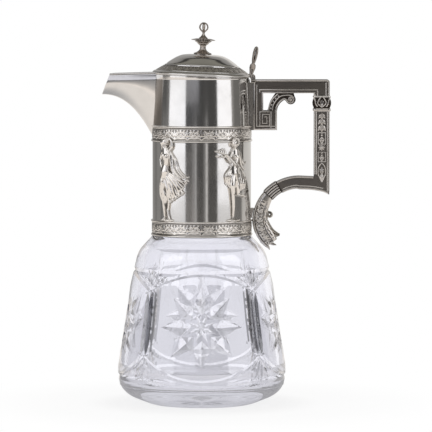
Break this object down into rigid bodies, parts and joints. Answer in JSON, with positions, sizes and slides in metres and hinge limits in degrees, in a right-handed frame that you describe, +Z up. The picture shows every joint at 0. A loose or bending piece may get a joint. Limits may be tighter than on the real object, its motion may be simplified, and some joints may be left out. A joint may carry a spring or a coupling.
{
  "type": "claret jug",
  "caption": "Cut-glass claret jug with a silver-plated neck mount, hinged domed lid with thumbpiece, beak spout, cast key-pattern handle and applied relief figures.",
  "frame": {"origin": "centre of the flat underside of the glass foot", "axes": "+Z up along the jug's axis, +X towards the handle, -X towards the spout, +Y away from the front"},
  "size_m": [0.1737, 0.1278, 0.2896],
  "materials": {
    "cut_glass": "clear cut crystal, polished",
    "plaster": "plaster cement, matt",
    "plate_polished": "polished silver plate, lightly worn",
    "plate_cast": "cast and chased silver plate, oxidised in the recesses",
    "hinge_steel": "nickel silver, turned"
  },
  "bodies": {
    "jug": {"calyx": "plate_cast", "collar": "plate_polished", "collar_rim": "plate_polished", "glass_body": "cut_glass", "greek_key": "plate_cast", "handle_back_plate": "plate_cast", "handle_grip": "plate_cast", "handle_leg": "plate_cast", "handle_lug": "plate_cast", "handle_rail": "plate_cast", "hinge_block": "plate_cast", "hinge_pin": "hinge_steel", "leaf_terminal": "plate_cast", "lower_arm": "plate_cast", "lower_band": "plate_cast", "lower_band_bottom_wire": "plate_cast", "lower_band_top_wire": "plate_cast", "maiden_back": "plate_cast", "maiden_front": "plate_cast", "neck_sleeve": "plate_polished", "piper_back": "plate_cast", "piper_front": "plate_cast", "plaster_lining": "plaster", "reeded_clasp": "plate_cast", "scroll_bracket": "plate_cast", "spout": "plate_polished", "throat_ring": "plate_polished", "upper_band": "plate_cast", "upper_band_bottom_wire": "plate_cast", "upper_band_top_wire": "plate_cast"},
    "lid": {"lid_flange": "plate_polished", "lid_frieze": "plate_polished", "lid_dome": "plate_polished", "lid_bezel": "plate_polished", "lid_tongue": "plate_polished", "lid_knuckle": "plate_cast", "thumbpiece": "plate_cast", "finial_stem": "plate_cast", "finial_disc": "plate_cast", "finial_cone": "plate_cast", "finial_bud": "plate_cast", "finial_nut": "hinge_steel"}
  },
  "joints": [
    {"name": "lid_hinge", "type": "hinge", "parent": "jug", "child": "lid", "pos_m": [0.03858, 0, 0.24812], "axis": [0, 1, 0], "range_deg": [0, 76]}
  ]
}
